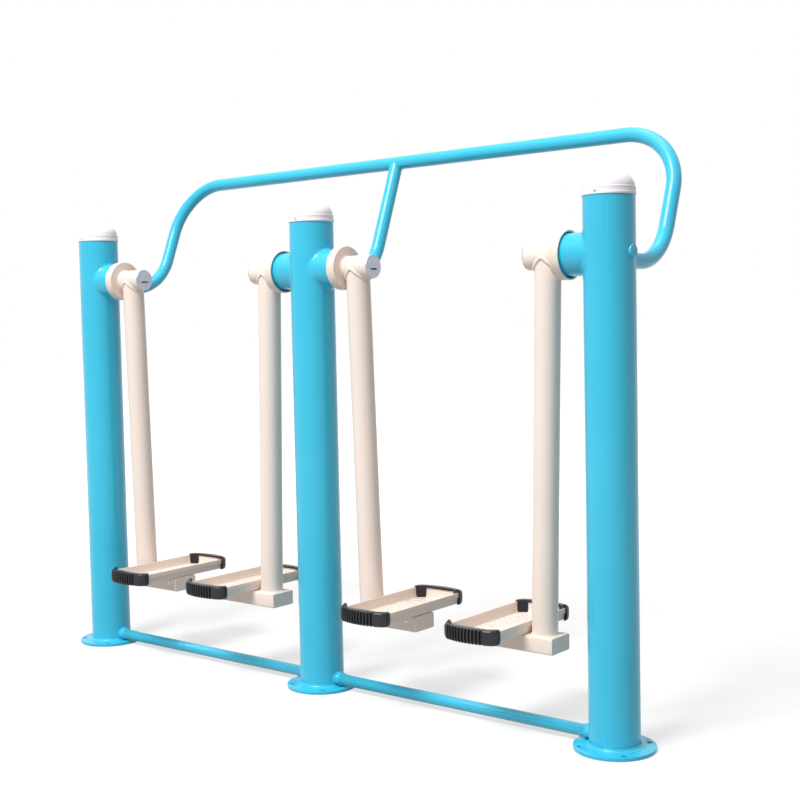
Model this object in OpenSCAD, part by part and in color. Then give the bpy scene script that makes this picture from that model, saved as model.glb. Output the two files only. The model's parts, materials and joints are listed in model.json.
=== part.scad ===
// Outdoor air walker with two places. Three posts stand in a row along X and carry four arms,
// each of which swings in its own hub about one axis along X. Y points the way the users face,
// and the ground is at Z = 0 under the middle post.

/* [Posts] */
// Outside diameter of a post
post_d = 114; // [106:1:122]
// Wall thickness of a post
post_wall = 3.5; // [2.5:0.5:6]
// Distance between the axes of neighbouring posts
post_pitch = 870; // [780:5:1000]
// Height of the top end of the post tubes above the ground
post_h = 1224; // [1200:5:1300]
// Diameter of a base flange
flange_d = 184; // [180:1:240]
// Thickness of a base flange
flange_t = 8; // [6:0.5:12]
// Diameter of the circle that the anchor bolt holes stand on
bolt_circle_d = 158; // [154:1:162]
// Diameter of an anchor bolt hole
bolt_hole_d = 13; // [10:0.5:15]
// Number of anchor bolt holes in a base flange
bolt_hole_count = 4; // [3:1:8]
// Leg of the hollow weld round a post's foot
foot_weld = 9; // [4:0.5:10]

/* [Post caps] */
// Wall thickness of a post cap
cap_wall = 2; // [1.5:0.5:4]
// Length of post that a cap's skirt covers
cap_lap = 14; // [10:1:24]
// Height of the flat ledge between the post's end and the dome
cap_ledge_h = 4; // [3:0.5:8]
// Diameter of the dome where it leaves the ledge
cap_dome_d = 104; // [80:1:106]
// Height of the dome above the ledge
cap_dome_h = 35; // [20:1:45]
// Diameter of a cap screw's shank
cap_screw_d = 5; // [4:0.5:6]
// Diameter of a cap screw's head
cap_screw_head_d = 9; // [7:0.5:11]
// Height of a cap screw's head
cap_screw_head_h = 2.5; // [1.5:0.5:4]
// Length of a cap screw's shank under the head
cap_screw_l = 11; // [8:1:20]

/* [Handrail] */
// Outside diameter of the handrail, its strut and their bends
rail_d = 36; // [32:1:42]
// Wall thickness of the handrail
rail_wall = 2.5; // [2:0.5:4]
// Height by which the handrail enters the posts below the hub axis
rail_entry_drop = 15; // [10:1:60]
// Distance behind the post axes at which the level run out of the posts meets the riser's line
rail_reach = 236; // [210:2:300]
// Distance of the top run behind the post axes
rail_top_y = 358; // [330:2:440]
// Height of the top run above the ground
rail_top_z = 1392; // [1360:2:1500]
// Bend radius between the entry and the riser
rail_low_bend_r = 140; // [120:5:200]
// Bend radius between the riser and the top run
rail_top_bend_r = 156; // [80:2:160]

/* [Tie bars] */
// Outside diameter of a tie bar
tie_d = 28; // [22:1:32]
// Wall thickness of a tie bar
tie_wall = 2.5; // [2:0.5:4]
// Air between a tie bar and the base flanges under it
tie_air = 3.5; // [3.5:0.5:30]
// Diameter of the collar at each end of a tie bar
tie_collar_d = 34; // [33:0.5:40]
// Length of the collar, from the post's side
tie_collar_l = 16; // [8:1:30]

/* [Swing hubs] */
// Height of the hub axis above the ground
hub_z = 1088; // [1060:2:1120]
// Diameter of a hub stub
stub_d = 96; // [90:1:100]
// Wall thickness of a hub stub
stub_wall = 4; // [3:0.5:6]
// Length by which a hub stub stands out of its post
stub_len = 51; // [36:1:70]
// Thickness of the drilled plate that closes a hub stub
stub_plate_t = 8; // [6:0.5:12]
// Diameter of the cup that covers the stub's end
cup_d = 111; // [110:1:124]
// Wall thickness of the cup's rim
cup_wall = 4; // [2:0.5:5]
// Thickness of the cup's face
cup_face_t = 5; // [4:0.5:8]
// Length of the cup's rim, with the face
cup_depth = 25; // [19:0.5:30]
// Room between the stub's plate and the cup's face, where the stops are
stop_room = 9; // [6:0.5:12]
// Angle to which the stops let an arm swing, each way
swing_limit = 40; // [20:1:55]
// Outside diameter of the hub sleeve
sleeve_d = 60; // [58:0.5:66]
// Length of the hub sleeve beyond the cup
sleeve_len = 82; // [74:1:120]
// Diameter of the axle
axle_d = 25; // [20:0.5:27]
// Diameter of the axle's threaded end
thread_d = 20; // [14:0.5:20]
// Diameter of the head on the outer end of a short axle
axle_head_d = 30; // [29:0.5:36]
// Height of that head over the post's side
axle_head_h = 5; // [3:0.5:10]

/* [Bearings] */
// Outside diameter of a ball bearing
bearing_d = 52; // [48:0.5:54]
// Width of a ball bearing
bearing_w = 15; // [12:0.5:17]
// Diameter of a bearing ball
ball_d = 8; // [6:0.5:9]
// Number of balls in a bearing
ball_count = 9; // [7:1:10]
// Thickness of the retaining ring that holds the outer bearing
clip_t = 1.5; // [1:0.25:2]
// Thickness of a sleeve's end cap
end_cap_t = 3; // [2:0.5:5]
// Bevel round a sleeve's end cap
end_cap_bevel = 1; // [0.5:0.5:1.5]
// Width of the flange across the axle nut
nut_flange_d = 34; // [32:0.5:38]
// Size across the flats of the axle nut
nut_flats = 28; // [26:0.5:30]
// Height of the axle nut with its flange
nut_h = 11; // [8:0.5:14]

/* [Arms] */
// Outside diameter of a pendulum tube
arm_d = 60; // [50:1:64]
// Angle by which a pendulum tube leans away from its post
arm_splay = 1.5; // [0:0.25:2.5]
// Wall thickness of a pendulum tube
arm_wall = 3; // [2:0.5:5]
// Distance from the hub axis down to the top face of the foot beam
pedal_drop = 857; // [800:5:880]
// Width of the foot beam, across the pedal's middle
beam_w = 76; // [74:1:100]
// Height of the foot beam
beam_h = 38; // [30:1:50]
// Wall thickness of the foot beam
beam_wall = 3; // [2:0.5:5]
// Length of foot beam beyond the pendulum tube's axis, towards the post
beam_heel = 42; // [36:1:60]
// Length of foot beam under the pedal's far side, from the pendulum tube's axis
beam_toe = 168; // [150:1:176]

/* [Pedals] */
// Width of a pedal pan
pedal_w = 140; // [130:1:170]
// Length of a pedal pan
pedal_l = 314; // [270:2:350]
// Height of a pedal pan's walls, with the floor
pedal_h = 29; // [22:1:40]
// Sheet thickness of a pedal pan
pedal_t = 3; // [2:0.5:4]
// Radius of a pedal pan's upright corners
pedal_corner_r = 10; // [8:0.5:14]
// Diameter of a pedal bolt
pedal_bolt_d = 8; // [6:0.5:10]
// Distance between the pedal bolts across the pedal
pedal_bolt_x = 80; // [60:2:100]
// Distance between the pedal bolts along the pedal
pedal_bolt_y = 44; // [30:1:52]

/* [Bumpers] */
// Thickness of a bumper in front of the pan's end wall, on the middle line
bumper_t = 18; // [17:0.5:22]
// Thickness of a bumper beside the pan's side walls
bumper_side_t = 4; // [4:0.5:8]
// Depth by which a bumper's front is bowed
bumper_bow = 8; // [4:0.5:8]
// Radius of a bumper's two front corners, seen from above
bumper_corner_r = 22; // [16:1:22]
// Length of a bumper's legs behind its rounded corners
bumper_leg = 5; // [3:1:20]
// Radius of the rounding along a bumper's top and bottom edges
bumper_edge_r = 7; // [3:0.5:8]
// Height by which a bumper stands over the pan's walls
bumper_rise = 4; // [3:0.5:8]
// Height by which a bumper reaches under the pan
bumper_under = 2; // [1.5:0.5:4]
// Thickness of the skirt that a bumper hooks over the pan's walls
skirt_t = 3; // [2:0.5:5]
// Height of that skirt under the top of the pan's walls
skirt_drop = 5; // [3:0.5:10]
// Size of the fillings in the pan's inside corners, across the pan
fill_x = 22; // [12:1:30]
// Size of the fillings in the pan's inside corners, along the pan
fill_y = 18; // [12:1:30]
// Height of the ears at the ends of a bumper's legs
ear_h = 6; // [3:0.5:10]
// Length of the ears
ear_l = 14; // [8:1:20]
// Number of grooves that part the upright ribs
groove_count = 11; // [5:1:12]
// Distance from groove to groove
groove_pitch = 9.5; // [8:0.1:10]
// Diameter of the round bottom of a groove
groove_d = 7.2; // [6:0.1:7.6]
// Depth of a groove
groove_depth = 3; // [1.5:0.25:3]
// Distance of the rightmost groove from the bumper's middle line
groove_end = 40; // [30:1:42]

/* [Hidden] */
$fn = 96;
// Clearance between pieces that are welded, bolted or laid against each other
seat_gap = 0.2;
// Radial clearance of shafts, screws and rings in their bores
fit_gap = 0.05;
// Overrun of every cut past the face that it opens, and overlap of joined forms
cut = 1;

post_r = post_d / 2;
weld_hollow_share = 0.9;
tie_z = flange_t + tie_air + tie_d / 2;
rail_entry_z = hub_z - rail_entry_drop;

// Riser of the handrail: how far it leans, how long it is, and what its two bends take of it
rail_lean = atan2(rail_top_y - rail_reach, rail_top_z - rail_entry_z);
riser_len = norm([rail_top_y - rail_reach, rail_top_z - rail_entry_z]);
low_turn = 90 - rail_lean;
low_tangent = rail_low_bend_r * tan(low_turn / 2);

// Places along the hub axis, measured from the axis of the post that carries the hub
stub_end = post_r + stub_len;
cup_in = stub_end + stop_room;
cup_out = cup_in + cup_face_t;
sleeve_end = cup_out + sleeve_len;
// Step in the sleeve that the inner bearing is pushed against
shoulder_len = 2;
shoulder_step = 4;
shoulder_d = bearing_d - 2 * shoulder_step;
// Air on both sides of the axle's tip and nut
tip_air = 2;
bearing_1 = cup_out + shoulder_len;
bearing_2 = sleeve_end - tip_air - nut_h - tip_air - bearing_w;
nut_at = bearing_2 + bearing_w;
axle_end = nut_at + nut_h + tip_air / 2;
// Gap between the cup's face and the pendulum tube
arm_air = 3;
arm_x = cup_out + arm_air + arm_d / 2;

// Ball race: pitch radius, and the shoulders of the two rings beside it
race_r = (axle_d + bearing_d) / 4;
ball_air = 0.15;
race_ball_r = ball_d / 2 + ball_air;
shoulder_share = 0.8;
inner_ring_r = race_r - ball_d / 2 * shoulder_share;
outer_ring_r = race_r + ball_d / 2 * shoulder_share;
// Retaining ring: depth of its groove, width of the ring itself and of the gap in it
clip_depth = 1;
clip_w = 3;
clip_mouth = 2;

// Stops: sectors of a ring between the stub's plate and the cup's face
stop_share = 2 / 3;
stop_t = stop_room * stop_share;
stop_in_r = shoulder_d / 2 + shoulder_step;
stop_out_r = stub_d / 2 - stub_wall;
stop_angle = 18;
// Angle left between the lug and a buffer when a joint stands at its limit
stop_play = 0.4;

// Foot of a pendulum tube, and the middle of the pan beside it
foot_x = arm_x + pedal_drop * tan(arm_splay);
pedal_x = foot_x + arm_d / 2 / cos(arm_splay) + seat_gap + pedal_w / 2;
pan_z = -pedal_drop;
bolt_head_r = pedal_bolt_d;
bolt_head_share = 0.375;
bolt_head_h = pedal_bolt_d * bolt_head_share;
bolt_l = pedal_t + beam_wall + pedal_bolt_d;

// Bumper: size over all, and the bow of its front, which runs smoothly into the corners
bumper_w = pedal_w + 2 * bumper_side_t;
bumper_h = bumper_under + pedal_h + bumper_rise;
corner_x = bumper_w / 2 - bumper_corner_r;
bow_r = (corner_x * corner_x + bumper_bow * bumper_bow) / (2 * bumper_bow);
corner_y = bow_r - sqrt(pow(bow_r - bumper_corner_r, 2) - corner_x * corner_x);
bow_angle = asin(corner_x / (bow_r - bumper_corner_r));
leg_end = corner_y + bumper_leg;
corner_step = 0.4;
inside_w = pedal_w - 2 * pedal_t - 2 * seat_gap;
inside_y = bumper_t + pedal_t + seat_gap;
fill_h = bumper_h - bumper_under - pedal_t - seat_gap;

// Name, post (-1 left, 0 middle, 1 right) and side of the post (1 towards +X) of each arm
ARMS = [["left_outer", -1, 1], ["left_inner", 0, -1], ["right_inner", 0, 1], ["right_outer", 1, -1]];
POSTS = [["left", -1], ["middle", 0], ["right", 1]];
ARM_PIECES = ["sleeve", "bearings", "end_cap", "tube", "foot_beam", "pedal", "pedal_bolts",
    "heel_bumper", "toe_bumper"];

// Carries a piece of a hub or an arm, drawn with the post at its origin and +X away from it
module on_arm(a) {
    translate([a[1] * post_pitch, 0, hub_z]) mirror([a[2] < 0 ? 1 : 0, 0, 0]) children();
}

// Carries a piece of a post, drawn with the post's axis on Z
module on_post(p) {
    translate([p[1] * post_pitch, 0, 0]) children();
}

// Round bar along X from x0 to x1
module bar_x(d, x0, x1) {
    translate([x0, 0, 0]) rotate([0, 90, 0]) cylinder(d = d, h = x1 - x0);
}

// Ring round the X axis, from x0 to x1
module ring_x(d_out, d_in, x0, x1) {
    difference() {
        bar_x(d_out, x0, x1);
        bar_x(d_in, x0 - cut, x1 + cut);
    }
}

// Sector of a ring round the X axis, its middle turned by an angle from straight up
module sector_x(r_in, r_out, x0, x1, middle, angle) {
    translate([x0, 0, 0]) rotate([middle, 0, 0]) rotate([0, 90, 0]) rotate([0, 0, 180 - angle / 2])
        rotate_extrude(angle = angle) translate([r_in, 0]) square([r_out - r_in, x1 - x0]);
}

// Round post tube; the axle's bore goes through both walls of it
module post() {
    color("deepskyblue") difference() {
        translate([0, 0, flange_t]) cylinder(d = post_d, h = post_h - flange_t);
        translate([0, 0, flange_t - cut]) cylinder(d = post_d - 2 * post_wall, h = post_h + cut);
        translate([0, 0, hub_z]) bar_x(axle_d + 2 * fit_gap, -post_d, post_d);
        cap_screw_places() bar_x(cap_screw_d + 2 * fit_gap, -cap_screw_l, cut);
    }
}

// Round base flange with its anchor bolt holes and the weld round the post's foot
module base_flange() {
    color("deepskyblue") difference() {
        union() {
            cylinder(d = flange_d, h = flange_t);
            rotate_extrude() difference() {
                translate([post_r + seat_gap, flange_t - cut]) square([foot_weld, foot_weld + cut]);
                translate([post_r + seat_gap + foot_weld, flange_t + foot_weld])
                    circle(r = foot_weld * weld_hollow_share);
            }
        }
        for (i = [0 : bolt_hole_count - 1])
            rotate([0, 0, 180 / bolt_hole_count + i * 360 / bolt_hole_count])
                translate([bolt_circle_d / 2, 0, -cut]) cylinder(d = bolt_hole_d, h = flange_t + 2 * cut);
    }
}

// Where the cap screws go in: at the front and the back, halfway up the skirt
module cap_screw_places() {
    for (turn = [-90, 90])
        translate([0, 0, post_h - cap_lap / 2]) rotate([0, 0, turn])
            translate([post_r + seat_gap + cap_wall, 0, 0]) children();
}

// Outside of a post cap, or its inside when it is drawn thinner by the wall
module cap_form(inset) {
    dome_r = cap_dome_d / 2 - inset;
    dome_h = cap_dome_h - inset;
    ball_r = (dome_r * dome_r + dome_h * dome_h) / (2 * dome_h);
    top = post_h + cap_ledge_h;
    translate([0, 0, post_h - cap_lap]) cylinder(
        r = post_r + seat_gap + cap_wall - inset,
        h = cap_lap + cap_ledge_h - inset
    );
    intersection() {
        translate([0, 0, top + dome_h - ball_r]) sphere(r = ball_r);
        translate([0, 0, top - cap_wall - cut]) cylinder(r = dome_r, h = cap_dome_h + 2 * cut);
    }
}

// Dome cap: a skirt round the post's end, a ledge and a hollow dome
module cap() {
    color("white") difference() {
        cap_form(0);
        cap_form(cap_wall);
        translate([0, 0, post_h - cap_lap - cut]) cylinder(r = post_r + seat_gap, h = 2 * cut);
        cap_screw_places() bar_x(cap_screw_d + 2 * fit_gap, -cap_screw_l, cut);
    }
}

// Pan-head screws that hold the three caps
module cap_screws() {
    rim_r = cap_screw_head_d / 2;
    color("silver") for (p = POSTS) on_post(p) cap_screw_places() rotate([0, 90, 0])
        rotate_extrude() polygon([
            [0, -cap_screw_l],
            [cap_screw_d / 2, -cap_screw_l],
            [cap_screw_d / 2, 0],
            [rim_r, 0],
            [rim_r, cap_screw_head_h / 2],
            [rim_r - cap_screw_head_h / 2, cap_screw_head_h],
            [0, cap_screw_head_h]
        ]);
}

// Straight length of rail tube along Z
module rail_tube(h) {
    difference() {
        cylinder(d = rail_d, h = h);
        translate([0, 0, -cut]) cylinder(d = rail_d - 2 * rail_wall, h = h + 2 * cut);
    }
}

// Bend of rail tube round the Z axis, butt-welded at both ends
module rail_bend(r, angle) {
    gap_angle = seat_gap / r * 180 / PI;
    rotate([0, 0, gap_angle]) rotate_extrude(angle = angle - 2 * gap_angle)
        translate([r, 0]) difference() {
            circle(d = rail_d);
            circle(d = rail_d - 2 * rail_wall);
        }
}

// Level run out of a post, coped to it, the low bend and a riser of a given length
module rail_side(riser) {
    difference() {
        translate([0, 0, rail_entry_z]) rotate([-90, 0, 0]) rail_tube(rail_reach - low_tangent);
        cylinder(r = post_r + seat_gap, h = post_h);
    }
    translate([0, rail_reach - low_tangent, rail_entry_z + rail_low_bend_r]) rotate([90, 0, 90])
        rotate([0, 0, -90]) rail_bend(rail_low_bend_r, low_turn);
    translate([0, rail_reach, rail_entry_z]) rotate([-rail_lean, 0, 0])
        translate([0, 0, low_tangent]) rail_tube(riser - low_tangent);
}

// Handrail: two bent ends, and between them the top run
module handrail() {
    color("deepskyblue") {
        for (side = [0, 1]) mirror([side, 0, 0]) translate([post_pitch, 0, 0]) {
            rail_side(riser_len - rail_top_bend_r);
            translate([0, rail_reach, rail_entry_z]) rotate([-rail_lean, 0, 0])
                translate([-rail_top_bend_r, 0, riser_len - rail_top_bend_r]) rotate([90, 0, 0])
                    rail_bend(rail_top_bend_r, 90);
        }
        translate([rail_top_bend_r - post_pitch, rail_top_y, rail_top_z]) rotate([0, 90, 0])
            rail_tube(2 * (post_pitch - rail_top_bend_r));
    }
}

// Strut behind the middle post, coped to the underside of the top run
module handrail_strut() {
    color("deepskyblue") difference() {
        rail_side(riser_len);
        translate([0, rail_top_y, rail_top_z]) bar_x(rail_d + 2 * seat_gap, -rail_d, rail_d);
    }
}

// The two tie bars, each coped to its posts, with a collar at each end
module tie_bars() {
    color("deepskyblue") for (side = [-1, 1]) difference() {
        translate([side * post_pitch / 2, 0, tie_z]) {
            bar_x(tie_d, -post_pitch / 2, post_pitch / 2);
            for (end = [0, 1]) mirror([end, 0, 0])
                bar_x(tie_collar_d, post_pitch / 2 - post_r - tie_collar_l, post_pitch / 2);
        }
        translate([side * post_pitch / 2, 0, tie_z])
            bar_x(tie_d - 2 * tie_wall, -post_pitch / 2 - cut, post_pitch / 2 + cut);
        for (end = [0, side]) translate([end * post_pitch, 0, flange_t])
            cylinder(r = post_r + seat_gap, h = hub_z);
        for (end = [0, side]) translate([end * post_pitch, 0, 0])
            cylinder(r = post_r + seat_gap + foot_weld, h = flange_t + foot_weld);
    }
}

// Hub stub: a tube coped to the post, closed by a plate with the axle's bore
module stub() {
    color("deepskyblue") difference() {
        bar_x(stub_d, 0, stub_end);
        bar_x(stub_d - 2 * stub_wall, -cut, stub_end - stub_plate_t);
        bar_x(axle_d + 2 * fit_gap, -cut, stub_end + cut);
        cylinder(r = post_r + seat_gap, h = 2 * stub_d, center = true);
    }
}

// Half of an axle, from the post's axis out through a hub to its threaded end
module axle_arm() {
    bar_x(axle_d, 0, nut_at);
    bar_x(thread_d, nut_at - cut, axle_end);
}

// Axle of an outer post, with a head coped to the outside of the post
module short_axle(a) {
    color("dimgray") on_arm(a) {
        axle_arm();
        bar_x(axle_d, -post_r - axle_head_h / 2, cut);
        difference() {
            bar_x(axle_head_d, -post_r - axle_head_h, 0);
            cylinder(r = post_r + seat_gap, h = 2 * axle_head_d, center = true);
        }
    }
}

// Axle of the middle post, which carries a hub on each side
module long_axle() {
    color("dimgray") {
        on_arm(ARMS[1]) axle_arm();
        on_arm(ARMS[2]) axle_arm();
    }
}

// Where the two bearings of a hub start
BEARING_PLACES = [bearing_1, bearing_2];

// Inner rings of all the bearings, with a groove for the balls
module bearing_inner_rings() {
    color("gainsboro") for (a = ARMS, x = BEARING_PLACES) on_arm(a)
        translate([x, 0, 0]) rotate([0, 90, 0]) rotate_extrude() difference() {
            translate([axle_d / 2 + fit_gap, 0]) square([inner_ring_r - axle_d / 2 - fit_gap, bearing_w]);
            translate([race_r, bearing_w / 2]) circle(r = race_ball_r);
        }
}

// Collars on the axles, inside and between the bearings
module bearing_collars() {
    color("silver") for (a = ARMS) on_arm(a) {
        ring_x(2 * inner_ring_r, axle_d + 2 * fit_gap, stub_end, bearing_1);
        ring_x(2 * inner_ring_r, axle_d + 2 * fit_gap, bearing_1 + bearing_w, bearing_2);
    }
}

// Flanged nuts on the axles' ends
module axle_nuts() {
    flange_share = 0.25;
    flange_h = nut_h * flange_share;
    color("gainsboro") for (a = ARMS) on_arm(a) difference() {
        union() {
            bar_x(nut_flange_d, nut_at, nut_at + flange_h);
            translate([nut_at, 0, 0]) rotate([0, 90, 0])
                cylinder(d = nut_flats / cos(30), h = nut_h, $fn = 6);
        }
        bar_x(thread_d + 2 * fit_gap, nut_at - cut, nut_at + nut_h + cut);
    }
}

// Rubber buffers on the stubs' plates, which stop the lug of each cup at both ends of the swing
module stop_buffers() {
    color("dimgray") for (a = ARMS, side = [-1, 1]) on_arm(a) sector_x(
        stop_in_r, stop_out_r, stub_end, stub_end + stop_t,
        side * (swing_limit + stop_play + stop_angle), stop_angle
    );
}

// Hub sleeve: bearing housing, cup over the stub's end, and the stop lug inside the cup
module sleeve() {
    color("bisque") {
        difference() {
            union() {
                bar_x(sleeve_d, cup_in, sleeve_end);
                bar_x(cup_d, cup_out - cup_depth, cup_out);
            }
            bar_x(cup_d - 2 * cup_wall, cup_out - cup_depth - cut, cup_in);
            bar_x(shoulder_d, cup_in - cut, sleeve_end + cut);
            bar_x(bearing_d + 2 * fit_gap, bearing_1, sleeve_end + cut);
            bar_x(bearing_d + 2 * clip_depth, nut_at, nut_at + clip_t);
        }
        sector_x(stop_in_r, stop_out_r, cup_in - stop_t, cup_in + cut, 0, stop_angle);
    }
}

// Outer rings and balls of a hub's two bearings, and the retaining ring that holds them
module bearings() {
    color("gainsboro") {
        for (x = BEARING_PLACES) translate([x, 0, 0]) rotate([0, 90, 0]) {
            rotate_extrude() difference() {
                translate([outer_ring_r, 0]) square([bearing_d / 2 - outer_ring_r, bearing_w]);
                translate([race_r, bearing_w / 2]) circle(r = race_ball_r);
            }
            for (i = [0 : ball_count - 1]) rotate([0, 0, i * 360 / ball_count])
                translate([race_r, 0, bearing_w / 2]) sphere(d = ball_d);
        }
        difference() {
            ring_x(
                bearing_d + 2 * clip_depth - 2 * fit_gap, bearing_d + 2 * clip_depth - 2 * clip_w,
                nut_at + fit_gap, nut_at + clip_t - fit_gap
            );
            translate([nut_at - cut, -clip_mouth / 2, 0]) cube([clip_t + 2 * cut, clip_mouth, bearing_d]);
        }
    }
}

// End cap of a sleeve: a bevelled disc with a collar that fits the sleeve's bore
module end_cap() {
    rim_r = sleeve_d / 2 - end_cap_bevel / 2;
    color("lightslategray") {
        translate([sleeve_end, 0, 0]) rotate([0, 90, 0]) rotate_extrude() polygon([
            [0, 0],
            [rim_r, 0],
            [rim_r, end_cap_t - end_cap_bevel],
            [rim_r - end_cap_bevel, end_cap_t],
            [0, end_cap_t]
        ]);
        ring_x(
            bearing_d - 2 * fit_gap, bearing_d - 2 * end_cap_t,
            nut_at + 2 * clip_t, sleeve_end + end_cap_t / 2
        );
    }
}

// Pendulum tube, coped to the underside of the sleeve and cut level on the foot beam
module arm_tube() {
    tube_l = pedal_drop + arm_d;
    color("bisque") difference() {
        translate([arm_x, 0, 0]) rotate([0, -arm_splay, 0]) difference() {
            translate([0, 0, -tube_l]) cylinder(d = arm_d, h = tube_l);
            translate([0, 0, -tube_l - cut]) cylinder(d = arm_d - 2 * arm_wall, h = tube_l + 2 * cut);
        }
        bar_x(sleeve_d + 2 * seat_gap, cup_out, sleeve_end + cut);
        translate([foot_x - arm_d, -arm_d, pan_z - 2 * arm_d]) cube(2 * arm_d);
    }
}

// Where the four bolts of a pedal stand, on top of the foot beam
module pedal_bolt_places() {
    for (x = [-1, 1], y = [-1, 1])
        translate([pedal_x + x * pedal_bolt_x / 2, y * pedal_bolt_y / 2, pan_z]) children();
}

// Foot beam: a box tube with closed ends, drilled on top for the pedal bolts
module foot_beam() {
    color("bisque") difference() {
        translate([foot_x - beam_heel, -beam_w / 2, pan_z - beam_h])
            cube([beam_heel + beam_toe, beam_w, beam_h]);
        translate([foot_x - beam_heel + beam_wall, -beam_w / 2 + beam_wall, pan_z - beam_h + beam_wall])
            cube([beam_heel + beam_toe - 2 * beam_wall, beam_w - 2 * beam_wall, beam_h - 2 * beam_wall]);
        pedal_bolt_places() translate([0, 0, -beam_wall - cut])
            cylinder(d = pedal_bolt_d + 2 * seat_gap, h = beam_wall + 2 * cut);
    }
}

// Block with upright rounded corners, its middle on the Z axis
module round_block(w, l, h, r) {
    translate([r - w / 2, -l / 2, 0]) cube([w - 2 * r, l, h]);
    translate([-w / 2, r - l / 2, 0]) cube([w, l - 2 * r, h]);
    for (x = [-1, 1], y = [-1, 1]) translate([x * (w / 2 - r), y * (l / 2 - r), 0]) cylinder(r = r, h = h);
}

// Pedal: a pressed pan with a floor and four walls
module pedal() {
    color("bisque") difference() {
        translate([pedal_x, 0, pan_z]) difference() {
            round_block(pedal_w, pedal_l, pedal_h, pedal_corner_r);
            translate([0, 0, pedal_t])
                round_block(pedal_w - 2 * pedal_t, pedal_l - 2 * pedal_t, pedal_h, pedal_corner_r - pedal_t);
        }
        pedal_bolt_places() translate([0, 0, -cut])
            cylinder(d = pedal_bolt_d + 2 * seat_gap, h = pedal_t + 2 * cut);
    }
}

// Round-headed bolts that hold a pedal on its foot beam
module pedal_bolts() {
    ball_r = (bolt_head_r * bolt_head_r + bolt_head_h * bolt_head_h) / (2 * bolt_head_h);
    color("silver") pedal_bolt_places() {
        translate([0, 0, pedal_t - bolt_l]) cylinder(d = pedal_bolt_d, h = bolt_l + bolt_head_h / 2);
        intersection() {
            translate([0, 0, pedal_t]) cylinder(r = bolt_head_r, h = bolt_head_h);
            translate([0, 0, pedal_t + bolt_head_h - ball_r]) sphere(r = ball_r);
        }
    }
}

// Section of a bumper with rounded outer edges and a given depth from inside to outside; its
// outside, top and bottom stand back by the inset
module bumper_section(deep, inset) {
    e = bumper_edge_r;
    translate([0, inset]) square([deep - e - inset, bumper_h - 2 * inset]);
    translate([0, e + inset]) square([deep - inset, bumper_h - 2 * e - 2 * inset]);
    for (z = [e + inset, bumper_h - e - inset]) translate([deep - e - inset, z]) circle(r = e);
}

// Outside form of a bumper, its front at Y = 0: the bowed front, and two corners that stand a
// little proud of it and of the legs behind them
module bumper_form() {
    front_deep = inside_y + skirt_t + cut;
    translate([0, bow_r, 0]) rotate([0, 0, -90 - bow_angle]) rotate_extrude(angle = 2 * bow_angle)
        translate([bow_r - front_deep, 0]) bumper_section(front_deep, corner_step);
    for (side = [0, 1]) mirror([side, 0, 0]) translate([corner_x, corner_y, 0]) {
        rotate_extrude() bumper_section(bumper_corner_r, 0);
        translate([0, bumper_leg, 0]) rotate([90, 0, 0]) linear_extrude(height = bumper_leg)
            bumper_section(bumper_corner_r, corner_step);
    }
}

// Room that a bumper leaves for the pan's floor and walls
module pan_room() {
    translate([0, pedal_l / 2 + bumper_t, bumper_under - seat_gap]) difference() {
        round_block(
            pedal_w + 2 * seat_gap, pedal_l + 2 * seat_gap, pedal_h + 2 * seat_gap,
            pedal_corner_r + seat_gap
        );
        translate([0, 0, pedal_t + 2 * seat_gap])
            round_block(
                inside_w, pedal_l - 2 * pedal_t - 2 * seat_gap, pedal_h,
                pedal_corner_r - pedal_t - seat_gap
            );
    }
}

// Rubber bumper for one end of the pan: it wraps the end wall and the corners, hooks over the walls
// with a skirt, fills the two inside corners and ends in two ears
module bumper() {
    wall_x = inside_w / 2;
    color("dimgray") difference() {
        union() {
            difference() {
                bumper_form();
                // the open inside of the pan, under the skirt and between its sides
                translate([-wall_x, inside_y, -cut])
                    cube([inside_w, pedal_l, bumper_h + cut - bumper_rise - skirt_drop]);
                translate([skirt_t - wall_x, inside_y + skirt_t, 0])
                    cube([inside_w - 2 * skirt_t, pedal_l, bumper_h + cut]);
                // grooves between the ribs, round the bow
                for (i = [0 : groove_count - 1])
                    translate([0, bow_r, -cut])
                        rotate([0, 0, (groove_end - i * groove_pitch) / bow_r * 180 / PI])
                            translate([0, groove_depth - bow_r - groove_d / 2, 0])
                                cylinder(d = groove_d, h = bumper_h - bumper_rise + cut);
            }
            for (side = [0, 1]) mirror([side, 0, 0]) {
                translate([0, 0, bumper_h - fill_h]) linear_extrude(height = fill_h) polygon([
                    [wall_x + pedal_t, inside_y - pedal_t],
                    [wall_x - fill_x, inside_y - pedal_t],
                    [wall_x - fill_x, inside_y],
                    [wall_x, inside_y + fill_y],
                    [wall_x + pedal_t, inside_y + fill_y]
                ]);
                translate([wall_x - skirt_t, leg_end, bumper_h]) rotate([90, 0, 90])
                    linear_extrude(height = skirt_t + pedal_t + bumper_side_t / 2)
                        polygon([[-ear_l, -bumper_edge_r], [0, -bumper_edge_r], [0, ear_h], [-ear_l, 0]]);
            }
        }
        pan_room();
    }
}

// Bumper at the pedal's near end, towards -Y; the moulding has one hand on all the arms
module heel_bumper(a) {
    translate([pedal_x, -pedal_l / 2 - bumper_t, pan_z - bumper_under])
        mirror([a[2] < 0 ? 1 : 0, 0, 0]) bumper();
}

// Bumper at the pedal's far end, the same moulding turned round
module toe_bumper(a) {
    translate([pedal_x, pedal_l / 2 + bumper_t, pan_z - bumper_under])
        mirror([a[2] < 0 ? 1 : 0, 0, 0]) rotate([0, 0, 180]) bumper();
}

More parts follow.
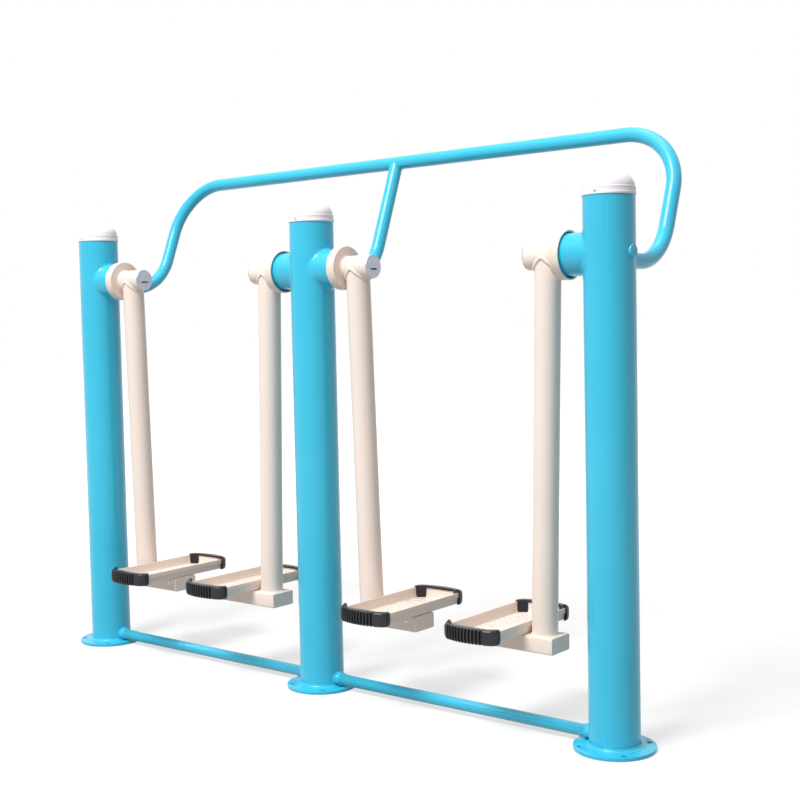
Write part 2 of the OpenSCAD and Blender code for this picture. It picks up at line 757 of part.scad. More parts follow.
for (p = POSTS) {
    on_post(p) post();
    on_post(p) base_flange();
    on_post(p) cap();
}
short_axle(ARMS[0]);  // left_axle
long_axle();  // middle_axle
short_axle(ARMS[3]);  // right_axle
cap_screws();
handrail();
handrail_strut();
tie_bars();
bearing_inner_rings();
bearing_collars();
axle_nuts();
stop_buffers();
for (a = ARMS) {
    on_arm(a) stub();
    on_arm(a) sleeve();
    on_arm(a) bearings();
    on_arm(a) end_cap();
    on_arm(a) arm_tube();
    on_arm(a) foot_beam();
    on_arm(a) pedal();
    on_arm(a) pedal_bolts();
    on_arm(a) heel_bumper(a);
    on_arm(a) toe_bumper(a);
}
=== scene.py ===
import json
import math

import bmesh
import bpy
from mathutils import Matrix, Vector


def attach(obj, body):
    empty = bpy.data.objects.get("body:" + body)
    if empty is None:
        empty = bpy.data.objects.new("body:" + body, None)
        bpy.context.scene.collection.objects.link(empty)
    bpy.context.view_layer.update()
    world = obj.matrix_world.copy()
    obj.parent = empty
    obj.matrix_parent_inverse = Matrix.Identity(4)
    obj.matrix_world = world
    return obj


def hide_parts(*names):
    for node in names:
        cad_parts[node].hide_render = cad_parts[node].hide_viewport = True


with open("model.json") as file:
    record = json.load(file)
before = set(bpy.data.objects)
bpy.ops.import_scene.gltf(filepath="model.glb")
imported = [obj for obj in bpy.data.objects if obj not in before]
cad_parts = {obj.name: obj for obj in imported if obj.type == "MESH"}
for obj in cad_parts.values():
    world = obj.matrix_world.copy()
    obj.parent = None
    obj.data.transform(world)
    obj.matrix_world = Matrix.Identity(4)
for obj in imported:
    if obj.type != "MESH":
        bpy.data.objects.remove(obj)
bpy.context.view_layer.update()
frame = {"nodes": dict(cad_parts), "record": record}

# Sizes of the walker, in metres. X runs along the row of posts, Y the way the users face.
PITCH = 0.870
HUB = 1.088
SEAT = 0.0002

POST_R = 0.057
POST_TOP = 1.224
CAP_LAP, CAP_LEDGE, CAP_DOME_FOOT_R, CAP_DOME_H, CAP_WALL = 0.014, 0.004, 0.0562, 0.035, 0.002
CAP_BAND_R = POST_R + SEAT + CAP_WALL * 0.35
AXLE_HEAD_R, AXLE_HEAD_H = 0.015, 0.0026
TIE_Z, TIE_COLLAR_R = 0.0255, 0.017

STUB_R = 0.048
STUB_END = 0.108
CUP_BACK, CUP_IN, CUP_OUT, CUP_R, CUP_BORE_R = 0.097, 0.117, 0.122, 0.0555, 0.0515
SLEEVE_END, SLEEVE_R, SLEEVE_BORE_R = 0.204, 0.030, 0.02605
SHOULDER_R, SHOULDER_END = 0.022, 0.124
STOP_IN_R, STOP_OUT_R, STOP_T, STOP_ANGLE = 0.026, 0.044, 0.006, math.radians(18)
END_CAP_T = 0.003

ARM_X, ARM_R = 0.155, 0.030
SPLAY = math.radians(1.5)
DROP = 0.857
PAN_Z = HUB - DROP
FOOT_X = ARM_X + DROP * math.tan(SPLAY)
BEAM_W, BEAM_H, BEAM_HEEL, BEAM_TOE = 0.076, 0.038, 0.042, 0.168
PAN_W, PAN_L, PAN_H, PAN_T = 0.140, 0.314, 0.029, 0.003
PAN_X = FOOT_X + ARM_R / math.cos(SPLAY) + SEAT + PAN_W / 2
BOLT_X, BOLT_Y = 0.080, 0.044
LENS_PITCH_X, LENS_PITCH_Y, LENS_TO_BOLT = 0.0235, 0.0225, 0.014

RAIL_R = 0.018
RAIL_ENTRY = HUB - 0.015
RAIL_REACH, RAIL_TOP_Y, RAIL_TOP_Z = 0.236, 0.358, 1.392
RAIL_LOW_BEND, RAIL_TOP_BEND = 0.140, 0.156
RAIL_LEAN = math.atan2(RAIL_TOP_Y - RAIL_REACH, RAIL_TOP_Z - RAIL_ENTRY)
RISER_L = math.hypot(RAIL_TOP_Y - RAIL_REACH, RAIL_TOP_Z - RAIL_ENTRY)
RISE = Vector((0, math.sin(RAIL_LEAN), math.cos(RAIL_LEAN)))

# radii of the weld beads, and of the hollow fillet round a stub
RAIL_BEAD, STRUT_BEAD, COLLAR_BEAD = 0.0034, 0.0032, 0.0028
CUP_BEAD, SADDLE_BEAD, FOOT_BEAD = 0.0022, 0.0046, 0.0022
FILLET_REACH = 0.010

POSTS = {"left": -1, "middle": 0, "right": 1}
# each arm's post, and the side of the post that it hangs on
ARMS = {
    "left_outer": (-1, 1),
    "left_inner": (0, -1),
    "right_inner": (0, 1),
    "right_outer": (1, -1),
}
# the part of a noise's range over which a tone or a sheen runs from low to high
NOISE_MIDDLE = (0.3, 0.7)
# points of a made mesh, and of a CAD node's loose triangles, that count as one
SAME_POINT, SAME_CAD_POINT = 0.000002, 0.00001


# materials


def new_material(name):
    material = bpy.data.materials.new(name)
    material.use_nodes = True
    tree = material.node_tree
    tree.nodes.clear()
    out = tree.nodes.new("ShaderNodeOutputMaterial")
    shader = tree.nodes.new("ShaderNodeBsdfPrincipled")
    tree.links.new(shader.outputs["BSDF"], out.inputs["Surface"])
    coords = tree.nodes.new("ShaderNodeTexCoord")
    return material, tree, shader, coords.outputs["Object"]


def noise(tree, coords, scale, detail=2.0, roughness=0.5, stretch=None):
    if stretch:
        mapping = tree.nodes.new("ShaderNodeMapping")
        mapping.inputs["Scale"].default_value = stretch
        tree.links.new(coords, mapping.inputs["Vector"])
        coords = mapping.outputs["Vector"]
    node = tree.nodes.new("ShaderNodeTexNoise")
    node.inputs["Scale"].default_value = scale
    node.inputs["Detail"].default_value = detail
    node.inputs["Roughness"].default_value = roughness
    tree.links.new(coords, node.inputs["Vector"])
    return node.outputs["Fac"]


def spread(tree, value, low, high, span=NOISE_MIDDLE):
    """Runs from low to high while the value crosses its span."""
    node = tree.nodes.new("ShaderNodeMapRange")
    for label, number in zip(("From Min", "From Max", "To Min", "To Max"), (*span, low, high)):
        node.inputs[label].default_value = number
    tree.links.new(value, node.inputs["Value"])
    return node.outputs["Result"]


def two_tones(tree, value, dark, light):
    ramp = tree.nodes.new("ShaderNodeValToRGB")
    for stop, place, tone in zip(ramp.color_ramp.elements, NOISE_MIDDLE, (dark, light)):
        stop.position = place
        stop.color = (*tone, 1)
    tree.links.new(value, ramp.inputs["Fac"])
    return ramp.outputs["Color"]


def bump(tree, shader, height, distance, strength):
    node = tree.nodes.new("ShaderNodeBump")
    node.inputs["Distance"].default_value = distance
    node.inputs["Strength"].default_value = strength
    tree.links.new(height, node.inputs["Height"])
    tree.links.new(node.outputs["Normal"], shader.inputs["Normal"])


def tone_and_sheen(tree, shader, tone, roughness):
    tree.links.new(tone, shader.inputs["Base Color"])
    tree.links.new(roughness, shader.inputs["Roughness"])


def powder_coat(name, dark, light, rough, coat):
    """Baked paint: faint drift of tone, fine orange peel, a clear glossy skin."""
    material, tree, shader, coords = new_material(name)
    drift = noise(tree, coords, scale=4.0, detail=3.0)
    patches = noise(tree, coords, scale=14.0)
    tone_and_sheen(
        tree, shader, two_tones(tree, drift, dark, light),
        spread(tree, patches, rough * 0.95, rough * 1.06),
    )
    peel = noise(tree, coords, scale=520.0, detail=1.0)
    bump(tree, shader, peel, distance=0.00006, strength=0.08)
    shader.inputs["Specular IOR Level"].default_value = 0.3
    shader.inputs["Coat Weight"].default_value = coat
    shader.inputs["Coat Roughness"].default_value = 0.13
    return material


def rubber(name):
    """Moulded rubber with a faint grey bloom and a fine spark-eroded grain."""
    material, tree, shader, coords = new_material(name)
    bloom = noise(tree, coords, scale=26.0, detail=4.0)
    handling = noise(tree, coords, scale=60.0, detail=3.0)
    tone_and_sheen(
        tree, shader, two_tones(tree, bloom, (0.005, 0.005, 0.009), (0.009, 0.009, 0.015)),
        spread(tree, handling, 0.28, 0.38),
    )
    grain = noise(tree, coords, scale=900.0)
    bump(tree, shader, grain, distance=0.00006, strength=0.35)
    return material


def cap_plastic(name):
    """White moulded plastic, a little cloudy."""
    material, tree, shader, coords = new_material(name)
    cloud = noise(tree, coords, scale=18.0, detail=3.0)
    flow = noise(tree, coords, scale=45.0)
    tone_and_sheen(
        tree, shader, two_tones(tree, cloud, (0.92, 0.870, 0.935), (0.95, 0.900, 0.965)),
        spread(tree, flow, 0.30, 0.40),
    )
    grain = noise(tree, coords, scale=300.0, detail=1.0)
    bump(tree, shader, grain, distance=0.0001, strength=0.3)
    return material


def bare_metal(name, dark, light, rough, stretch=None, scale=120.0):
    """Metal with a fine grain in its tone and its sheen, drawn out by the stretch."""
    material, tree, shader, coords = new_material(name)
    grain = noise(tree, coords, scale, detail=4.0, roughness=0.6, stretch=stretch)
    tone_and_sheen(
        tree, shader, two_tones(tree, grain, dark, light),
        spread(tree, grain, rough * 0.75, rough * 1.3),
    )
    bump(tree, shader, grain, distance=0.00006, strength=0.4)
    shader.inputs["Metallic"].default_value = 1.0
    return material


FINISHES = {
    "blue_paint": powder_coat(
        "cyan_powder_coat", (0.034, 0.520, 0.760), (0.040, 0.550, 0.795), rough=0.36, coat=0.38),
    "cream_paint": powder_coat(
        "cream_powder_coat", (0.88, 0.757, 0.680), (0.905, 0.782, 0.705), rough=0.42, coat=0.22),
    "black_rubber": rubber("bumper_rubber"),
    "white_plastic": cap_plastic("cap_plastic"),
    "grey_metal": bare_metal(
        "end_cap_metal", (0.36, 0.39, 0.46), (0.46, 0.48, 0.54), rough=0.42),
    "zinc_steel": bare_metal(
        "zinc_plate", (0.46, 0.46, 0.47), (0.62, 0.62, 0.61), rough=0.32, scale=260.0),
    "bearing_steel": bare_metal(
        "ground_steel", (0.52, 0.53, 0.55), (0.64, 0.65, 0.67), rough=0.16, stretch=(1, 1, 30)),
    "dark_steel": bare_metal(
        "turned_steel", (0.14, 0.15, 0.17), (0.22, 0.23, 0.25), rough=0.36, stretch=(30, 1, 1)),
}
SLOT_OF = {s["node"]: s["material_slot"] for s in frame["record"]["subparts"]}
BODY_OF = {n: b for b, ns in frame["record"]["behaviour"]["bodies"].items() for n in ns}

for name, node in frame["nodes"].items():
    node.data.materials.clear()
    node.data.materials.append(FINISHES[SLOT_OF[name]])


# ways of making a piece


def new_piece(name, verts, faces=(), edges=()):
    mesh = bpy.data.meshes.new(name)
    mesh.from_pydata([tuple(v) for v in verts], list(edges), list(faces))
    piece = bpy.data.objects.new(name, mesh)
    bpy.context.scene.collection.objects.link(piece)
    return piece


def joined_up(mesh, distance):
    """An edit mesh in which the points that meet are one."""
    form = bmesh.new()
    form.from_mesh(mesh)
    bmesh.ops.remove_doubles(form, verts=form.verts, dist=distance)
    bmesh.ops.dissolve_degenerate(form, dist=distance, edges=form.edges)
    return form


def close_up(piece):
    """Joins the points that meet and turns all faces outwards."""
    form = joined_up(piece.data, SAME_POINT)
    bmesh.ops.recalc_face_normals(form, faces=form.faces)
    form.to_mesh(piece.data)
    form.free()
    return piece


def settle(piece, sharp=32):
    """Turns a piece and its modifiers into one plain mesh with smooth curves."""
    graph = bpy.context.evaluated_depsgraph_get()
    mesh = bpy.data.meshes.new_from_object(piece.evaluated_get(graph))
    piece.modifiers.clear()
    piece.data = mesh
    for face in mesh.polygons:
        face.use_smooth = True
    mesh.set_sharp_from_angle(angle=math.radians(sharp))
    return piece


def show(piece, body, slot, *nodes):
    """Gives a piece its finish and its body, and hides the CAD nodes that it stands for."""
    piece.data.materials.clear()
    piece.data.materials.append(FINISHES[slot])
    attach(piece, body)
    if nodes:
        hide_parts(*nodes)


def stand_for(piece, node):
    show(piece, BODY_OF[node], SLOT_OF[node], node)


def smooth_copy(node, edge=0.0):
    """A copy of a CAD node, joined up, its sharp edges rounded and its curves smooth."""
    piece = bpy.data.objects.new(node + "_skin", frame["nodes"][node].data.copy())
    bpy.context.scene.collection.objects.link(piece)
    form = joined_up(piece.data, SAME_CAD_POINT)
    if edge:
        flat = math.radians(0.5)
        bmesh.ops.dissolve_limit(form, angle_limit=flat, verts=form.verts, edges=form.edges)
    form.to_mesh(piece.data)
    form.free()
    if edge:
        bevel = piece.modifiers.new("edges", "BEVEL")
        bevel.width = edge
        bevel.segments = 2
        bevel.limit_method = "ANGLE"
        bevel.angle_limit = math.radians(50)
    stand_for(settle(piece), node)
    return piece


def cut_out(piece, cutter):
    """Takes one closed form out of another, and the cutter away."""
    cut = piece.modifiers.new("cut", "BOOLEAN")
    cut.operation = "DIFFERENCE"
    cut.solver = "EXACT"
    cut.object = cutter
    settle(piece)
    bpy.data.objects.remove(cutter)
    return piece


def rounded(corners, steps):
    """A closed outline whose corners, each given with its radius, are arcs."""
    points = []
    for i, (x, y, radius) in enumerate(corners):
        here = Vector((x, y))
        if not radius:
            points.append((x, y))
            continue
        before = (Vector(corners[i - 1][:2]) - here).normalized()
        after = (Vector(corners[(i + 1) % len(corners)][:2]) - here).normalized()
        half = before.angle(after) / 2
        middle = here + (before + after).normalized() * (radius / math.sin(half))
        start = here + before * (radius / math.tan(half)) - middle
        end = here + after * (radius / math.tan(half)) - middle
        first = math.atan2(start.y, start.x)
        turn = (math.atan2(end.y, end.x) - first + math.pi) % (2 * math.pi) - math.pi
        for k in range(steps + 1):
            a = first + turn * k / steps
            points.append((middle.x + radius * math.cos(a), middle.y + radius * math.sin(a)))
    return points


def quarter(steps):
    """The angles of a quarter turn, from level to upright."""
    return [math.pi / 2 * k / steps for k in range(steps + 1)]


def braced(outline, reach=0.0006):
    """The outline with a point near both ends of each long side, which keeps flats flat."""
    points = []
    for i, start in enumerate(outline):
        points.append(start)
        a, b = Vector(start), Vector(outline[(i + 1) % len(outline)])
        long = (b - a).length
        if long > 4 * reach:
            points.append(tuple(a + (b - a) * (reach / long)))
            points.append(tuple(b + (a - b) * (reach / long)))
    return points


def lathe(name, outline, place, steps):
    """Turns a closed outline of radius and height; place puts across, up and along in the frame.
    For a coped end, the outline is a function of the angle."""
    verts, faces = [], []
    shape = outline if callable(outline) else lambda angle: outline
    count = len(shape(0.0))
    for s in range(steps):
        angle = 2 * math.pi * s / steps
        across, up = math.cos(angle), math.sin(angle)
        verts += [place(r * across, r * up, along) for r, along in shape(angle)]
        for k in range(count):
            a, b = s * count + k, s * count + (k + 1) % count
            c, d = (b + count) % (steps * count), (a + count) % (steps * count)
            faces.append((a, b, c, d))
    return close_up(new_piece(name, verts, faces))


def loft(name, loops, ring=False):
    """A skin over a row of loops that have the same count of points. It is closed at both ends,
    or its last loop joins the first one."""
    count = len(loops[0])
    total = len(loops) * count
    faces = [] if ring else [tuple(reversed(range(count))), tuple(range(total - count, total))]
    for i in range(len(loops) if ring else len(loops) - 1):
        for k in range(count):
            a, b = i * count + k, i * count + (k + 1) % count
            faces.append((a, b, (b + count) % total, (a + count) % total))
    return close_up(new_piece(name, [p for loop in loops for p in loop], faces))


def upright_at(x):
    """Places a turned piece upright over a point of the row of posts."""
    return lambda across, up, along: (x + across, up, along)


def hub_at(arm):
    """Puts a point of an arm in the frame: along X from its post, with Y and Z from the hub."""
    post, side = ARMS[arm]
    return lambda along, y, z: (post * PITCH + side * along, y, HUB + z)


def turned_at(arm):
    """Places a turned piece on an arm's hub axis."""
    put = hub_at(arm)
    return lambda across, up, along: put(along, across, up)


def rectangle(half_x, half_y, radius, steps):
    """A rectangle with round corners, as an outline round the origin."""
    corners = ((1, 1), (-1, 1), (-1, -1), (1, -1))
    return rounded([(half_x * x, half_y * y, radius) for x, y in corners], steps)


# what repeats or follows a path, grown by geometry nodes


def node_tree(name, sockets):
    tree = bpy.data.node_groups.new(name, "GeometryNodeTree")
    tree.interface.new_socket("Geometry", in_out="INPUT", socket_type="NodeSocketGeometry")
    for label, kind in sockets:
        tree.interface.new_socket(label, in_out="INPUT", socket_type="NodeSocket" + kind)
    tree.interface.new_socket("Geometry", in_out="OUTPUT", socket_type="NodeSocketGeometry")
    return tree, tree.nodes.new("NodeGroupInput").outputs


def grow_through(tree, given, *steps):
    """Leads the input through a row of nodes, makes it real, paints it and gives it out."""
    paint = tree.nodes.new("GeometryNodeSetMaterial")
    tree.links.new(given["Paint"], paint.inputs["Material"])
    outlet = given["Geometry"]
    for node in (*steps, tree.nodes.new("GeometryNodeRealizeInstances"), paint):
        tree.links.new(outlet, node.inputs[0])
        outlet = node.outputs[0]
    tree.links.new(outlet, tree.nodes.new("NodeGroupOutput").inputs["Geometry"])


def math_node(tree, operation, first, second=None):
    node = tree.nodes.new("ShaderNodeMath")
    node.operation = operation
    for slot, value in enumerate((first, second)):
        if value is None:
            continue
        if isinstance(value, (int, float)):
            node.inputs[slot].default_value = value
        else:
            tree.links.new(value, node.inputs[slot])
    return node.outputs[0]


def tube_tree():
    """A round bar along a path; its ripples, if any, run round it like those of a weld bead."""
    tree, given = node_tree("bar_along_a_path", [
        ("Radius", "Float"), ("Step", "Float"), ("Sides", "Int"),
        ("Ripple", "Float"), ("Ripple Pitch", "Float"), ("Paint", "Material"),
    ])
    path = tree.nodes.new("GeometryNodeMeshToCurve")
    even = tree.nodes.new("GeometryNodeResampleCurve")
    even.mode = "LENGTH"
    tree.links.new(given["Step"], even.inputs["Length"])
    run = tree.nodes.new("GeometryNodeSplineParameter")
    phase = math_node(tree, "DIVIDE", run.outputs["Length"], given["Ripple Pitch"])
    wave = math_node(tree, "SINE", math_node(tree, "MULTIPLY", phase, 2 * math.pi))
    swell = math_node(tree, "ADD", math_node(tree, "MULTIPLY", wave, given["Ripple"]), 1.0)
    ring = tree.nodes.new("GeometryNodeCurvePrimitiveCircle")
    tree.links.new(given["Sides"], ring.inputs["Resolution"])
    tree.links.new(given["Radius"], ring.inputs["Radius"])
    skin = tree.nodes.new("GeometryNodeCurveToMesh")
    tree.links.new(ring.outputs[0], skin.inputs["Profile Curve"])
    tree.links.new(swell, skin.inputs["Scale"])
    skin.inputs["Fill Caps"].default_value = True
    grow_through(tree, given, path, even, skin)
    return tree


def vector_of_points(tree, name):
    node = tree.nodes.new("GeometryNodeInputNamedAttribute")
    node.data_type = "FLOAT_VECTOR"
    node.inputs["Name"].default_value = name
    return node.outputs["Attribute"]


def points_tree():
    """One small part on each point, spun about its axis and turned to the point's direction."""
    tree, given = node_tree("parts_on_points", [("Part", "Object"), ("Paint", "Material")])
    part = tree.nodes.new("GeometryNodeObjectInfo")
    tree.links.new(given["Part"], part.inputs["Object"])
    turn = tree.nodes.new("FunctionNodeAlignRotationToVector")
    turn.axis = "Z"
    tree.links.new(vector_of_points(tree, "spin"), turn.inputs["Rotation"])
    tree.links.new(vector_of_points(tree, "facing"), turn.inputs["Vector"])
    place = tree.nodes.new("GeometryNodeInstanceOnPoints")
    tree.links.new(part.outputs["Geometry"], place.inputs["Instance"])
    tree.links.new(turn.outputs[0], place.inputs["Rotation"])
    grow_through(tree, given, place)
    return tree


TUBE_TREE = tube_tree()
POINTS_TREE = points_tree()


def grow(piece, tree, **values):
    """Sets the tree's named inputs on a piece and turns the result into a plain mesh."""
    modifier = piece.modifiers.new(tree.name, "NODES")
    modifier.node_group = tree
    for item in tree.interface.items_tree:
        label = item.name.lower().replace(" ", "_")
        if item.in_out == "INPUT" and label in values:
            modifier[item.identifier] = values[label]
    piece.update_tag()
    return settle(piece)


def bar_along(
    name, paths, radius, slot, closed=False, step=0.004, sides=48, ripple=0.0, pitch=0.004
):
    """A round bar along paths; the ripple is a share of its radius."""
    verts, edges = [], []
    for path in paths:
        start, count = len(verts), len(path)
        verts += path
        edges += [(start + k, start + k + 1) for k in range(count - 1)]
        if closed:
            edges.append((start + count - 1, start))
    return grow(
        new_piece(name, verts, edges=edges), TUBE_TREE, radius=radius, step=step, sides=sides,
        ripple=ripple, ripple_pitch=pitch, paint=FINISHES[slot],
    )


def weld_beads(name, seams, body, slot):
    """Weld beads along closed seams, each given with its bead radius, joined in one piece."""
    beads = [
        bar_along(
            f"{name}_{i}", [seam], radius, slot,
            closed=True, step=0.0009, sides=12, ripple=0.07, pitch=0.0042,
        )
        for i, (seam, radius) in enumerate(seams)
    ]
    show(join(name, beads), body, slot)


def join(name, parts):
    """Makes one piece of several."""
    form = bmesh.new()
    for part in parts:
        form.from_mesh(part.data)
        bpy.data.objects.remove(part)
    piece = new_piece(name, [])
    form.to_mesh(piece.data)
    form.free()
    return settle(piece)


def parts_on_points(name, part, places, slot):
    """Copies of a small part at places, each a point, a direction and a spin about it."""
    piece = new_piece(name, [place for place, _, _ in places])
    facing = piece.data.attributes.new("facing", "FLOAT_VECTOR", "POINT")
    spin = piece.data.attributes.new("spin", "FLOAT_VECTOR", "POINT")
    for i, (_, direction, angle) in enumerate(places):
        facing.data[i].vector = direction
        spin.data[i].vector = (0, 0, angle)
    return grow(piece, POINTS_TREE, part=part, paint=FINISHES[slot])


def round_path(point, count=180):
    return [point(2 * math.pi * k / count) for k in range(count)]


# posts: tubes, flanges, caps and the caps' screws


def post_cap(post):
    """Dome cap: a lip at the skirt's foot, a plain band, a bead, and the dome."""
    bore = POST_R + SEAT
    lip_r, bead_r = bore + CAP_WALL * 0.85, bore + CAP_WALL * 0.45
    foot, inside, dome_foot = POST_TOP - CAP_LAP, POST_TOP + 0.0012, POST_TOP + 0.0034
    outside = rounded([
        (bore, foot, 0.0003), (lip_r, foot, 0.0008), (lip_r, foot + 0.0052, 0.0012),
        (CAP_BAND_R, foot + 0.0060, 0.0005), (CAP_BAND_R, dome_foot - 0.0034, 0.0005),
        (bead_r, dome_foot - 0.0030, 0.0006), (bead_r, dome_foot - 0.0006, 0.0010),
        (CAP_DOME_FOOT_R + 0.0001, dome_foot, 0.0004),
    ], 4)
    dome_h = CAP_LEDGE + CAP_DOME_H + 0.0020 - (dome_foot - POST_TOP)
    dome = [
        (CAP_DOME_FOOT_R * math.cos(a), dome_foot + 0.0004 + dome_h * math.sin(a))
        for a in quarter(26)
    ]
    inner_r, inner_h = CAP_DOME_FOOT_R - CAP_WALL, dome_h + dome_foot - POST_TOP - CAP_WALL
    inner = [(inner_r * math.cos(a), inside + inner_h * math.sin(a)) for a in quarter(12)]
    outline = outside + dome + list(reversed(inner)) + [(bore, inside)]
    cap = lathe(f"{post}_cap_dome", outline, upright_at(POSTS[post] * PITCH), 96)
    stand_for(settle(cap), f"{post}_cap")


for post in POSTS:
    smooth_copy(f"{post}_post")
    smooth_copy(f"{post}_base_flange", 0.0012)
    post_cap(post)
smooth_copy("tie_bars")


def cap_screw_template():
    """Pan-head screw, its head on Z = 0 and up, with a six-sided socket."""
    shank_r, shank_l, head_r, head_h = 0.0025, 0.011, 0.0045, 0.0025
    outline = rounded([
        (0, -shank_l, 0), (shank_r, -shank_l, 0.0004), (shank_r, 0, 0), (head_r, 0, 0.0003),
        (head_r, 0.0013, 0.0011), (0.0026, head_h, 0.0008), (0, head_h, 0),
    ], 3)
    screw = lathe("cap_screw", outline, upright_at(0), 36)
    return socket_cut(screw, radius=0.0014, top=head_h, deep=0.0012)


def pedal_bolt_template():
    """Button-head bolt, its head on Z = 0 and up, with a six-sided socket."""
    shank_r, shank_l, head_r, head_h = 0.004, 0.0140, 0.008, 0.003
    outline = rounded([
        (0, -shank_l, 0), (shank_r, -shank_l, 0.0006), (shank_r, 0, 0), (head_r, 0, 0.0003),
        (0.0078, 0.0008, 0.0003), (0.0055, 0.0027, 0.0022), (0, head_h, 0),
    ], 4)
    bolt = lathe("pedal_bolt", outline, upright_at(0), 40)
    return socket_cut(bolt, radius=0.0026, top=head_h, deep=0.0018)


def socket_cut(piece, radius, top, deep):
    low, high = top - deep, top + deep
    outline = [(0, low), (radius, low), (radius, high), (0, high)]
    return cut_out(piece, lathe("socket", outline, upright_at(0), 6))


def cap_screws():
    """Two screws through each cap's band, front and rear."""
    template = cap_screw_template()
    seat = CAP_BAND_R - 0.0004
    places = [
        ((x * PITCH, side * seat, POST_TOP - CAP_LAP / 2), (0, side, 0), 0.0)
        for x in POSTS.values() for side in (-1, 1)
    ]
    stand_for(parts_on_points("cap_screw_set", template, places, "zinc_steel"), "cap_screws")
    bpy.data.objects.remove(template)


cap_screws()


# handrail, the welds of the frame and the short axles' heads


def bend_points(start, along, across, radius, turn, steps):
    """Points of a bend that starts at a point, runs along one direction and turns to another."""
    points = []
    for k in range(1, steps + 1):
        angle = turn * k / steps
        ahead, aside = radius * math.sin(angle), radius * (1 - math.cos(angle))
        points.append(start + along * ahead + across * aside)
    return points


def riser_points(x):
    """From inside a post, level to the rear, and round the low bend to the riser."""
    back, up = Vector((0, 1, 0)), Vector((0, 0, 1))
    turn = math.pi / 2 - RAIL_LEAN
    tangent = RAIL_LOW_BEND * math.tan(turn / 2)
    inside, start = (Vector((x, y, RAIL_ENTRY)) for y in (POST_R - 0.012, RAIL_REACH - tangent))
    return [inside, start] + bend_points(start, back, up, RAIL_LOW_BEND, turn, 24)


def handrail():
    """Handrail, one tube from outer post to outer post, and its strut behind the middle post."""
    foot = Vector((0, RAIL_REACH, RAIL_ENTRY))
    half = []
    for side in (-1, 1):
        start = foot + Vector((side * PITCH, 0, 0)) + RISE * (RISER_L - RAIL_TOP_BEND)
        top_bend = bend_points(
            start, RISE, Vector((-side, 0, 0)), RAIL_TOP_BEND, math.pi / 2, 30)
        half.append(riser_points(side * PITCH) + [start] + top_bend)
    path = half[0] + list(reversed(half[1]))
    strut = riser_points(0) + [foot + RISE * RISER_L]
    stand_for(bar_along("handrail_tube", [path], RAIL_R, "blue_paint"), "handrail")
    stand_for(bar_along("handrail_strut_tube", [strut], RAIL_R, "blue_paint"), "handrail_strut")


handrail()


def stub_fillet(arm):
    """The ground weld between stub and post, a hollow fillet that runs out on both."""
    put = hub_at(arm)
    loops = []
    for t in round_path(lambda t: t):
        y, z = STUB_R * math.cos(t), STUB_R * math.sin(t)
        x, around = math.sqrt(POST_R ** 2 - y * y), POST_R * math.asin(y / POST_R)
        out = Vector((around, z)).normalized() * FILLET_REACH
        turn = (around + out.x) / POST_R
        corner = Vector((x, y, z))
        on_post = Vector((POST_R * math.cos(turn), POST_R * math.sin(turn), z + out.y))
        on_stub = Vector((x + FILLET_REACH, y, z))
        loop = [
            on_post * (1 - s) ** 2 + corner * (2 * s * (1 - s)) + on_stub * s ** 2
            for s in (k / 8 for k in range(9))
        ]
        deep = corner + (corner - (on_post + on_stub) / 2) * 0.4
        loops.append([put(*p) for p in loop + [deep]])
    show(settle(loft(f"{arm}_stub_fillet", loops, True)), "frame", "blue_paint")


def frame_welds():
    """Beads round the handrail's ends, the tie bar collars and the strut's top."""
    seams = []
    for x in POSTS.values():
        seams.append((round_path(lambda t: (
            x * PITCH + RAIL_R * math.cos(t),
            math.sqrt((POST_R - 0.001) ** 2 - (RAIL_R * math.cos(t)) ** 2),
            RAIL_ENTRY + RAIL_R * math.sin(t),
        )), RAIL_BEAD))
    for x, side in ARMS.values():
        seams.append((round_path(lambda t: (
            x * PITCH + side * math.sqrt(POST_R ** 2 - (TIE_COLLAR_R * math.cos(t)) ** 2),
            TIE_COLLAR_R * math.cos(t),
            TIE_Z + TIE_COLLAR_R * math.sin(t),
        )), COLLAR_BEAD))
    over = Vector((0, math.cos(RAIL_LEAN), -math.sin(RAIL_LEAN)))
    top = Vector((0, RAIL_TOP_Y, RAIL_TOP_Z))
    seams.append((round_path(lambda t: (
        top + Vector((RAIL_R * math.cos(t), 0, 0)) + over * ((RAIL_R - 0.0022) * math.sin(t))
        - RISE * (RAIL_R * abs(math.cos(t)))
    )), STRUT_BEAD))
    weld_beads("frame_weld_beads", seams, "frame", "blue_paint")


for arm in ARMS:
    stub_fillet(arm)
frame_welds()


def axle_bosses():
    """The two short axles, their heads ground down, and a painted cover over each head."""
    head, sunk = POST_R + AXLE_HEAD_H, POST_R - 0.004
    rim_r, rim, dish = AXLE_HEAD_R + 0.0008, head + 0.0010, head + 0.0002
    outline = braced(rounded([
        (0, sunk, 0), (rim_r, sunk, 0), (rim_r, rim, 0.0024),
        (AXLE_HEAD_R - 0.0046, rim, 0.0012), (AXLE_HEAD_R - 0.0060, dish, 0.0010), (0, dish, 0),
    ], 5), 0.0004)
    ground = PITCH + POST_R + AXLE_HEAD_H
    for x, name in ((-1, "left"), (1, "right")):
        axle = smooth_copy(f"{name}_axle")
        for point in axle.data.vertices:
            if point.co.x * x > ground:
                point.co.x = x * ground
        piece = lathe(
            f"{name}_axle_boss", outline,
            lambda across, up, along: (x * PITCH + x * along, across, HUB + up), 64,
        )
        show(settle(piece), "frame", "blue_paint")


axle_bosses()


# hubs and arms


